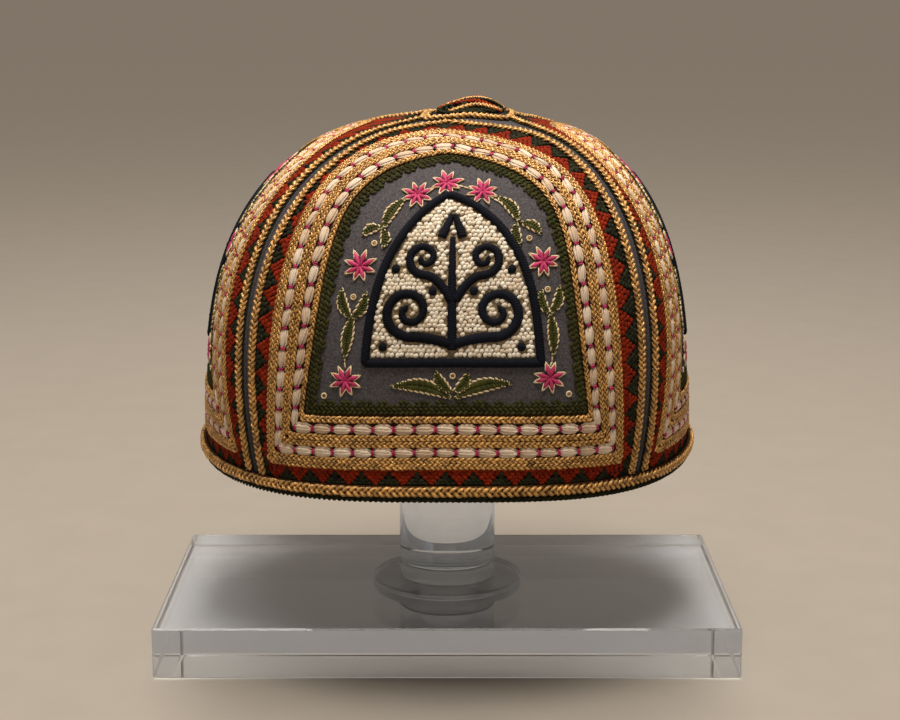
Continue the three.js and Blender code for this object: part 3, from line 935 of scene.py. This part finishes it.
# A volute leaves the stem upwards, then runs into its curl
def voluteLine(row, side):
    t = np.linspace(0, 1, scrollForm["curlSteps"])
    angle = -quarterTurn + 2 * math.pi * row["turns"] * t
    radius = row["radius"] * (1 - scrollForm["curlIn"] * t)
    curl = np.column_stack([row["across"] + radius * np.cos(angle), row["up"] + radius * np.sin(angle)])
    lead = np.linspace(0, 1, scrollForm["leadSteps"])[:-1, None]
    start, join = np.array([scrollForm["root"], row["root"]]), curl[0]
    bend = np.array([(start[0] + join[0]) / 2, join[1]])
    run = (1 - lead) ** 2 * start + 2 * lead * (1 - lead) * bend + lead ** 2 * join
    points = np.concatenate([run, curl])
    points[:, 0] = scrollForm["middle"] + side * points[:, 0]
    return polyLine(points)


def navyCord(line, width, last=1.0, taper=0.0, loop=False):
    stations = evenStations(line, outlineForm["pitch"], 0, last, ends=not loop)
    place = placeAlong(line, stations)
    ripple = 1 - outlineForm["ripple"] * (np.arange(len(stations)) % 2)
    fall = taper * np.linspace(0, 1, len(stations)) ** 2
    wide = width * (1 - fall) * ripple
    tall = outlineForm["height"] * (1 - outlineForm["heightTaper"] * fall) * ripple
    return layCord(place, wide, tall, outlineForm["sides"], loop, outlineForm["lift"]), place["origin"], wide


def placeAt(across, up, ahead=0.3):
    origin, normal = panelSurface(across, up)
    return framed(origin, panelSurface(across, up + ahead)[0] - origin, normal)


# Returns the spots that the cords cover and how far each reaches
def sewScroll():
    cords = [navyCord(lambda s: archLine(cartoucheArch, s), outlineForm["width"], 3.0, loop=True)]
    middle = scrollForm["middle"]
    stem = polyLine([(middle, scrollForm["stemFoot"]),
                     (middle - scrollForm["stemLean"], scrollForm["stemHead"])])
    cords.append(navyCord(stem, scrollForm["stemWidth"], taper=scrollForm["stemTaper"]))
    for side in (-1, 1):
        for row in voluteRows:
            cords.append(navyCord(voluteLine(row, side), row["width"], taper=scrollForm["curlTaper"]))
        over = middle - budForm["lean"]
        bud = polyLine([(over + side * budForm["across"], budForm["up"] - budForm["length"] / 2),
                        (over + side * budForm["tip"], budForm["up"] + budForm["length"] / 2)])
        cords.append(navyCord(bud, budForm["width"], taper=budForm["taper"]))
    dots = np.array([(middle + side * across, up) for across, up in dotSpots for side in (-1, 1)])
    place = placeAt(*dots.T)
    batches = [cord[0] for cord in cords] + [plant(knot, place, scrollForm["dot"], outlineForm["lift"])]
    onEachPanel("navy_scroll", joined(batches), navyThread, "ecru_thread")
    covered = np.concatenate([cord[1] for cord in cords] + [place["origin"]])
    widths = np.concatenate([cord[2] for cord in cords] + [np.full(len(dots), scrollForm["dot"][0])])
    return covered, widths / 2


ecruForm = {"spacing": 1.55, "rowShare": 0.87, "left": -33, "right": 36, "scatter": 0.16, "inset": 1.2,
            "clear": 0.45, "turn": 0.7, "turnUneven": 0.5, "lift": 0.3,
            "knot": ((1.8, 0.96, 0.08), (1.8, 1.1, 0.1), (1.25, 1, 0.12))}


# Ecru knots fill the cartouche wherever no cord lies
def sewEcruField(covered, reach):
    step = ecruForm["spacing"]
    rows = np.arange(cartoucheArch["foot"], cartoucheArch["tip"], step * ecruForm["rowShare"])
    spots = [(across, up) for count, up in enumerate(rows)
             for across in np.arange(ecruForm["left"] + step / 2 * (count % 2), ecruForm["right"], step)]
    spots = np.array(spots) + draw.normal(0, ecruForm["scatter"], (len(spots), 2))
    spots = spots[insideArch(cartoucheArch, *spots.T, ecruForm["inset"])]
    origin = panelSurface(*spots.T)[0]
    gaps = np.linalg.norm(origin[:, None] - covered[None], axis=-1) - reach[None]
    spots = spots[gaps.min(1) > ecruForm["clear"]]
    count = len(spots)
    place = turned(placeAt(*spots.T), draw.normal(ecruForm["turn"], ecruForm["turnUneven"], count))
    batch = plant(knot, place, sewnSizes(count, ecruForm["knot"]), ecruForm["lift"])
    onEachPanel("ecru_field", batch, ecruThread, "ecru_thread", "cartouche_{}")


sewEcruField(*sewScroll())
print("cartouches sewn")

# Flowers, leaves and rings on the felt round the cartouche, placed across and up
flowerForm = {"petals": 8, "length": 4.5, "width": 1.75, "height": 1.2, "lift": 0.5, "uneven": 0.07,
              "notch": 2.5, "tip": 5.6, "edge": 0.62, "edgeHeight": 0.8, "edgeReach": 1.08, "edgeLift": 0.4}
flowerSpots = ((-2.5, 104.3), (-11.7, 99.5), (9.4, 100.8), (-28.6, 74.2), (30.3, 75.9), (-32.7, 37.0),
               (33.2, 38.1))
ringForm = {"stitch": (2.2, 2.2, 2.0), "lift": 0.45, "heart": (0.9, 0.9, 0.9), "heartLift": 0.35}
ringSpots = ((-39.8, 31.9), (39.5, 32.5), (-30.4, 64.2), (31.9, 66.7), (-24.4, 81.9), (25.4, 83.6),
             (1.8, 38.6))
leafForm = {"stitch": 0.85, "gauge": 1.2, "fullness": 0.8, "stub": 0.3, "rib": 0.24, "slant": 0.95,
            "reach": 0.62, "overlap": 0.5, "height": 1.1, "lift": 0.35, "edgeOut": 1.15, "edgeTurn": 0.3,
            "edgePitch": 1.9, "edge": (0.85, 2.375, 0.85)}
leafRows = (  # root, tip, width and bow
    ((-15.4, 98.0), (-21.7, 86.8), 2.9, -1.3),
    ((-22.3, 87.4), (-28.5, 84.4), 2.6, -1.1),
    ((-22.1, 87.0), (-21.5, 80.2), 2.5, 0.9),
    ((14.2, 98.7), (21.8, 89.3), 2.9, 1.3),
    ((22.2, 89.0), (29.3, 85.1), 2.6, 1.2),
    ((21.0, 89.0), (22.8, 81.4), 2.5, -1.0),
    ((-32.8, 44.3), (-30.4, 58.4), 3.0, 0.5),
    ((-30.7, 57.0), (-34.2, 67.0), 2.8, 1.4),
    ((-31.0, 57.0), (-26.3, 65.9), 2.8, -1.4),
    ((34.2, 45.0), (32.8, 59.3), 2.8, -0.5),
    ((32.8, 58.7), (29.9, 66.7), 2.4, 1.2),
    ((32.8, 58.7), (35.6, 67.8), 2.6, -1.3),
    ((1.8, 31.1), (-18.0, 35.1), 3.7, -2.2),
    ((2.4, 31.1), (20.8, 36.2), 3.7, 1.9),
    ((1.6, 33.4), (-3.7, 40.2), 3.0, 1.2),
    ((2.1, 33.4), (6.8, 39.8), 3.0, -1.2),
)
# Thin cream lines join the flowers at the top, and the lower flowers to their leaves
garlandForm = {"pitch": 1.9, "stitch": (0.65, 2.28, 0.65), "lift": 0.25}
garlandLines = (
    ((-18.6, 95.4), (-12.4, 99.6), (-2.3, 104.6), (9.2, 100.6), (16.4, 95.8)),
    ((-32.7, 41.0), (-32.9, 42.8), (-32.9, 45.4)),
    ((33.0, 41.6), (33.7, 43.0), (33.9, 45.2)),
)


def leafLine(row, offset=0.0):
    root, tip, width, bow = row
    run = np.subtract(tip, root)
    square = np.array([-run[1], run[0]]) / np.hypot(*run)

    def line(station):
        station = np.asarray(station, float)
        bulge = np.sin(math.pi * np.clip(station, 0, 1)) * (bow + offset * width / 2)
        return tuple(root[k] + run[k] * station + square[k] * bulge for k in (0, 1))
    return line


# Each side of a leaf is a row of slanted stitches from the midrib, with a cream edge
def sewLeaves():
    fills, edges = [], []
    for row in leafRows:
        stations = evenStations(leafLine(row), leafForm["stitch"])
        count = len(stations)
        wide = row[2] * np.sin(math.pi * stations) ** leafForm["fullness"] + leafForm["stub"]
        size = fixedSizes(count, leafForm["stitch"] * leafForm["gauge"],
                          wide * leafForm["reach"] + leafForm["overlap"], leafForm["height"])
        for side in (-1, 1):
            place = shifted(placeAlong(leafLine(row), stations), side * wide * leafForm["rib"])
            place = turned(place, side * leafForm["slant"])
            fills.append(plant(seed, place, size, leafForm["lift"]))
            place = evenPlace(leafLine(row, side * leafForm["edgeOut"]), leafForm["edgePitch"])
            place = turned(place, leafForm["edgeTurn"])
            edges.append(plant(seed, place, leafForm["edge"], leafForm["lift"]))
    onEachPanel("olive_leaves", joined(fills), oliveThread, "dark_cord")
    return edges


# Two cream threads run from the notches to each petal's point
def sewFlowers():
    form = flowerForm
    place = placeAt(*np.array(flowerSpots).T)
    count = len(flowerSpots)
    petals, edges = [], []
    halfPetal = math.pi / form["petals"]
    notch = form["notch"] * np.array([math.sin(halfPetal), math.cos(halfPetal)])
    for k in range(form["petals"]):
        out = turned(place, halfPetal * (2 * k + 1) + draw.normal(0, form["uneven"], count))
        grow = draw.normal(1, form["uneven"], count)
        size = fixedSizes(count, form["width"], form["length"] * grow, form["height"])
        petals.append(plant(petal, out, size, form["lift"]))
        for side in (-1, 1):
            run = np.array([-side * notch[0], form["tip"] - notch[1]])
            middle = np.array([side * notch[0], notch[1]]) + run / 2
            edge = turned(shifted(out, middle[0], middle[1] * grow), math.atan2(*run))
            size = (form["edge"], np.hypot(*run) * form["edgeReach"], form["edgeHeight"])
            edges.append(plant(seed, edge, size, form["edgeLift"]))
    onEachPanel("flowers", joined(petals), pinkThread, "band_thread")
    return edges


def sewRings():
    place = placeAt(*np.array(ringSpots).T)
    hearts = plant(knot, place, ringForm["heart"], ringForm["heartLift"])
    onEachPanel("ring_hearts", hearts, goldThread, "gold_thread")
    return [plant(ring, place, ringForm["stitch"], ringForm["lift"])]


def sewGarland():
    return [plant(seed, evenPlace(polyLine(points), garlandForm["pitch"]), garlandForm["stitch"],
                  garlandForm["lift"]) for points in garlandLines]


creamWork = sewLeaves() + sewFlowers() + sewRings() + sewGarland()
onEachPanel("cream_lines", joined(creamWork), creamThread, "ecru_thread")
print("flowers and leaves sewn")

# Seam braids: a plait along each edge of a panel, with a thin dark line beside the bare strip, a painted
# shadow of the braid sewn as dark stitches. A plait is given by its width, strand and pitch
seamForm = {"plait": (3.4, 1.2, 5.8), "lift": 0.8, "archHead": 146.95, "head": 152.0, "lineShift": 1.7,
            "linePitch": 1.7, "lineStitch": (0.6, 2.21, 0.6), "lineTurn": 0.25, "lineLift": 0.15}


def seamLine(arched, side, towardSeam):
    head = seamForm["archHead" if arched else "head"]

    def line(station):
        up = seamBraid["foot"] + (head - seamBraid["foot"]) * station
        return braidAcross(arched, side, up) + side * towardSeam, up
    return line


def sewSeams(arched, panels):
    plaits, shadowLines = [], []
    for side in (-1, 1):
        place = evenPlace(seamLine(arched, side, 0.0), plaitForm["step"], ends=True)
        plaits.append(layPlait(place, *seamForm["plait"], up=seamForm["lift"]))
        # painted shadow: a thin dark line of stitches beside the braid
        place = evenPlace(seamLine(arched, side, seamForm["lineShift"]), seamForm["linePitch"])
        place = turned(place, seamForm["lineTurn"] * side)
        shadowLines.append(plant(seed, place, seamForm["lineStitch"], seamForm["lineLift"]))
    onEachPanel("seam_plait", joined(plaits), goldThread, "gold_thread", "seam_braid_{}_l",
                "seam_braid_{}_r", panels=panels)
    onEachPanel("seam_shadow_lines", joined(shadowLines), greenThread, "dark_cord", panels=panels)


sewSeams(True, archedPanels)
sewSeams(False, straightPanels)

# Rim: a broad plait on a dark core, painted shade that shows through the plait's gaps, and a dark twisted
# cord under the felt's edge. Each runs so far out from the felt and up from its edge, in steps. Core: width,
# depth, sides. Cord: ply, twist, plies
rimForm = {"plaitAt": (2.2, 0.2, 0.72), "plait": (3.7, 1.2, 6.6), "coreAt": (1.2, 0.2, 3.0),
           "core": (3.8, 1.9, 8), "cordAt": (0.6, -2.45, 1.0), "cord": (1.35, 5.4, 3)}


def rimPlace(turn, out, up, step=1e-3):
    def spot(at):
        wall = domePoint(at, np.full_like(at, np.interp(max(up, 0), upLengths, climbSteps)))
        outward = unit(wall * (1, 1, 0))
        return wall * (1, 1, 0) + outward * out + np.array([0, 0, up]), outward
    origin, outward = spot(turn)
    return framed(origin, spot(turn + step)[0] - spot(turn - step)[0], outward)


def evenRim(out, up, pitch):
    fine = np.linspace(0, 2 * math.pi, 3000)
    lengths = runLengths(rimPlace(fine, out, up)["origin"])
    count = round(lengths[-1] / pitch)
    return rimPlace(np.interp(np.arange(count) * lengths[-1] / count, lengths, fine), out, up)


def settled(batch):
    return {**batch, "points": settle(batch["points"])}


def sewRim():
    plait = layPlait(evenRim(*rimForm["plaitAt"]), *rimForm["plait"], True)
    # painted shade: a dark core behind the plait
    core = layCord(evenRim(*rimForm["coreAt"]), *rimForm["core"], True)
    cord = layTwist(evenRim(*rimForm["cordAt"]), *rimForm["cord"], True)
    makePiece("rim_plait", settled(plait), goldThread, "gold_thread", "rim_braid")
    makePiece("rim_shade_core", settled(core), coreShadeThread, "gold_thread")
    makePiece("rim_twist", settled(cord), greenThread, "dark_cord", "rim_cord")


sewRim()
print("seams and rim sewn")

# Crown: a collar of plait round the seams' ends, and plaited cord ends over the peak on a dark coil
knotForm = {"collar": 14.6, "collarPoint": 2.4, "collarPlait": (3.0, 1.2, 5.8), "collarSteps": 240,
            "coilReach": 12.0, "coilPitch": 1.7, "coilStep": 0.9, "coilEnd": 0.006, "coilLift": 0.8,
            "coil": (0.9, 2.6, 2), "reach": 11.6, "plait": (2.3, 0.95, 4.4), "steps": 44, "lift": 1.1,
            "crest": 0.7, "stack": 0.1, "nearest": 0.25}
knotCords = (  # colour, heading in degrees and offset from the middle
    ("dark", 92, 3.6),
    ("gold", 9, -8.0),
    ("rust", -14, -4.6),
    ("dark", 6, -2.4),
    ("gold", -8, 0.2),
    ("rust", 5, 2.8),
    ("gold", -4, 6.0),
    ("rust", 8, 8.8),
)


# Stations on the top of the felt, x and y from its middle
def crownPlace(x, y, lift):
    turn = np.arctan2(x, -y)
    away = np.maximum(np.hypot(x, y), knotForm["nearest"])
    climb = np.interp(panelLength - away, upLengths, climbSteps)
    origin = domePoint(turn, climb) + domeNormal(turn, climb) * np.broadcast_to(lift, x.shape)[:, None]
    return framed(origin, np.gradient(origin, axis=0), np.tile((0.0, 0.0, 1.0), (len(x), 1)))


def knotCord(heading, offset, stack):
    t = np.linspace(-1, 1, knotForm["steps"])
    run = t * math.sqrt(knotForm["reach"] ** 2 - offset ** 2)
    x = run * math.cos(heading) - offset * math.sin(heading)
    y = run * math.sin(heading) + offset * math.cos(heading)
    lift = knotForm["lift"] + (knotForm["crest"] + knotForm["stack"] * stack) * (1 - t ** 2)
    return layPlait(crownPlace(x, y, lift), *knotForm["plait"])


def sewCollar():
    angle = np.linspace(0, 2 * math.pi, knotForm["collarSteps"], endpoint=False)
    away = knotForm["collar"] + knotForm["collarPoint"] * (1 - np.abs(np.cos(2 * angle)))
    collar = crownPlace(away * np.sin(angle), -away * np.cos(angle), seamForm["lift"])
    plait = layPlait(collar, *knotForm["collarPlait"], True)
    makePiece("crown_collar", settled(plait), goldThread, "gold_thread")


def layCoil():
    turns = knotForm["coilReach"] / knotForm["coilPitch"]
    steps = round(math.pi * knotForm["coilReach"] * turns / knotForm["coilStep"])
    away = knotForm["coilReach"] * np.sqrt(np.linspace(1, knotForm["coilEnd"], steps))
    angle = 2 * math.pi * away / knotForm["coilPitch"]
    coil = crownPlace(away * np.sin(angle), -away * np.cos(angle), knotForm["coilLift"])
    return layTwist(coil, *knotForm["coil"])


def sewCrown():
    sewCollar()
    cords = {"rust": [], "gold": [], "dark": [layCoil()]}
    for stack, (color, heading, offset) in enumerate(knotCords):
        cords[color].append(knotCord(math.radians(heading), offset, stack))
    makePiece("crown_rust", settled(joined(cords["rust"])), rustThread, "rust_cord", "crown_knot")
    makePiece("crown_gold", settled(joined(cords["gold"])), goldThread, "gold_thread")
    makePiece("crown_dark", settled(joined(cords["dark"])), greenThread, "dark_cord")


sewCrown()
print("crown knotted")

# Stand: polished acrylic, in metres, its sizes taken from the frame's solids
standForm = {"slabBevel": 0.0006, "turnedBevel": 0.0004, "flangeHeight": 0.0022, "sides": 96,
             "smoothBelow": 25, "level": 0.99, "nearJoint": 1e-5}


# joints: heights of the flat faces that are cemented to the next piece
def finishAcrylic(piece, node, bevel, material, joints=()):
    edge = piece.modifiers.new("edge", "BEVEL")
    edge.width = bevel
    edge.segments = 1
    edge.limit_method = "ANGLE"
    bpy.ops.object.modifier_apply(modifier="edge")
    bpy.ops.object.shade_smooth_by_angle(angle=math.radians(standForm["smoothBelow"]))
    piece.data.materials.append(material)
    if joints:
        piece.data.materials.append(jointMaterial)
    for face in piece.data.polygons:
        near = [height for height in joints if abs(face.center.z - height) < standForm["nearJoint"]]
        if near and abs(face.normal.z) > standForm["level"]:
            face.material_index = 1
    carry(piece, "acrylic", node)


def makeSlab():
    low, high = (np.array(corner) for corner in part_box("base_slab"))
    bpy.ops.object.select_all(action="DESELECT")
    bpy.ops.mesh.primitive_cube_add(size=1, location=(low + high) / 2)
    slab = bpy.context.object
    slab.name = "stand_slab"
    slab.scale = high - low
    bpy.ops.object.transform_apply(location=True, rotation=True, scale=True)
    finishAcrylic(slab, "base_slab", standForm["slabBevel"], thickMaterial)


def makeRod(name, radius, low, high):
    bpy.ops.object.select_all(action="DESELECT")
    bpy.ops.mesh.primitive_cylinder_add(vertices=standForm["sides"], radius=radius, depth=high - low,
                                        location=(0, 0, (low + high) / 2))
    rod = bpy.context.object
    rod.name = name
    bpy.ops.object.transform_apply(location=True, rotation=True, scale=True)
    return rod


def makePost():
    low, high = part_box("post")
    radius = (high[0] - low[0]) / 2
    post = makeRod("stand_post", radius, low[2], high[2])
    finishAcrylic(post, "post", standForm["turnedBevel"], thickMaterial, (low[2],))
    return radius


def makeFlange(postRadius):
    low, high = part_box("post_flange")
    radius = (high[0] - low[0]) / 2
    flange = makeRod("stand_flange", radius, low[2], low[2] + standForm["flangeHeight"])
    bpy.ops.object.mode_set(mode="EDIT")
    bpy.ops.mesh.select_all(action="DESELECT")
    bpy.ops.object.mode_set(mode="OBJECT")
    for face in flange.data.polygons:
        face.select = face.normal.z > standForm["level"]
    bpy.ops.object.mode_set(mode="EDIT")
    bpy.ops.mesh.select_mode(type="FACE")
    bpy.ops.mesh.inset(thickness=radius - postRadius)
    rise = high[2] - low[2] - standForm["flangeHeight"]
    bpy.ops.mesh.extrude_region_move(TRANSFORM_OT_translate={"value": (0, 0, rise)})
    bpy.ops.object.mode_set(mode="OBJECT")
    finishAcrylic(flange, "post_flange", standForm["turnedBevel"], thinMaterial, (low[2], high[2]))


makeSlab()
makeFlange(makePost())
print("stand made")

# Floor, light and camera
stageForm = {"floorSize": 60.0, "drop": 0.0004, "pale": (150, 143, 134), "shade": (143, 136, 127),
             "mottle": (40.0, 4.0), "air": (176, 164, 150), "airStrength": 0.82, "lampAim": (0, 0, 0.12)}
cameraForm = {"place": (0.00105, -0.7051, 0.2435), "tilt": 0.2, "focal": 1982.5, "imageWidth": 900,
              "sensor": 36}
lampRows = (
    {"name": "keyLamp", "kind": "SUN", "place": (-0.2, -0.45, 2.0), "size": 0.45, "power": 1.0,
     "color": (1.0, 0.95, 0.89)},
    {"name": "frontLamp", "kind": "AREA", "place": (0.4, -1.4, 0.9), "size": (0.9, 0.9), "power": 1.2,
     "color": (1.0, 0.95, 0.9)},
    {"name": "topLamp", "kind": "AREA", "place": (0.0, 0.0, 1.2), "size": (0.3, 1.3), "power": 17.5,
     "color": (1.0, 0.92, 0.82)},
)


def makeStage():
    bpy.ops.object.select_all(action="DESELECT")
    bpy.ops.mesh.primitive_plane_add(size=stageForm["floorSize"], location=(0, 0, -stageForm["drop"]))
    floor = bpy.context.object
    floor.name = "floor"
    material, tree, shader = startMaterial("paleFloor", Roughness=0.8)
    mottle(tree, shader, noise(tree, *stageForm["mottle"]), stageForm["pale"], stageForm["shade"])
    floor.data.materials.append(material)
    world = bpy.data.worlds.new("room")
    world.use_nodes = True
    air = world.node_tree.nodes["Background"]
    air.inputs["Color"].default_value = tone(*stageForm["air"])
    air.inputs["Strength"].default_value = stageForm["airStrength"]
    bpy.context.scene.world = world
    bpy.context.scene.view_settings.view_transform = "Standard"


def makeLamps():
    for row in lampRows:
        lamp = bpy.data.lights.new(row["name"], row["kind"])
        lamp.energy = row["power"]
        lamp.color = row["color"]
        if row["kind"] == "SUN":
            lamp.angle = row["size"]
        else:
            lamp.shape = "ELLIPSE"
            lamp.size, lamp.size_y = row["size"]
        holder = bpy.data.objects.new(row["name"], lamp)
        bpy.context.collection.objects.link(holder)
        holder.location = row["place"]
        way = Vector(stageForm["lampAim"]) - holder.location
        holder.rotation_euler = way.to_track_quat("-Z", "Y").to_euler()


def makeCamera():
    lens = bpy.data.cameras.new("photoView")
    lens.sensor_width = cameraForm["sensor"]
    lens.lens = cameraForm["focal"] / cameraForm["imageWidth"] * lens.sensor_width
    camera = bpy.data.objects.new("photoView", lens)
    bpy.context.collection.objects.link(camera)
    camera.location = cameraForm["place"]
    camera.rotation_euler = (quarterTurn - cameraForm["tilt"], 0, 0)
    bpy.context.scene.camera = camera


makeStage()
makeLamps()
makeCamera()
print("stage set")
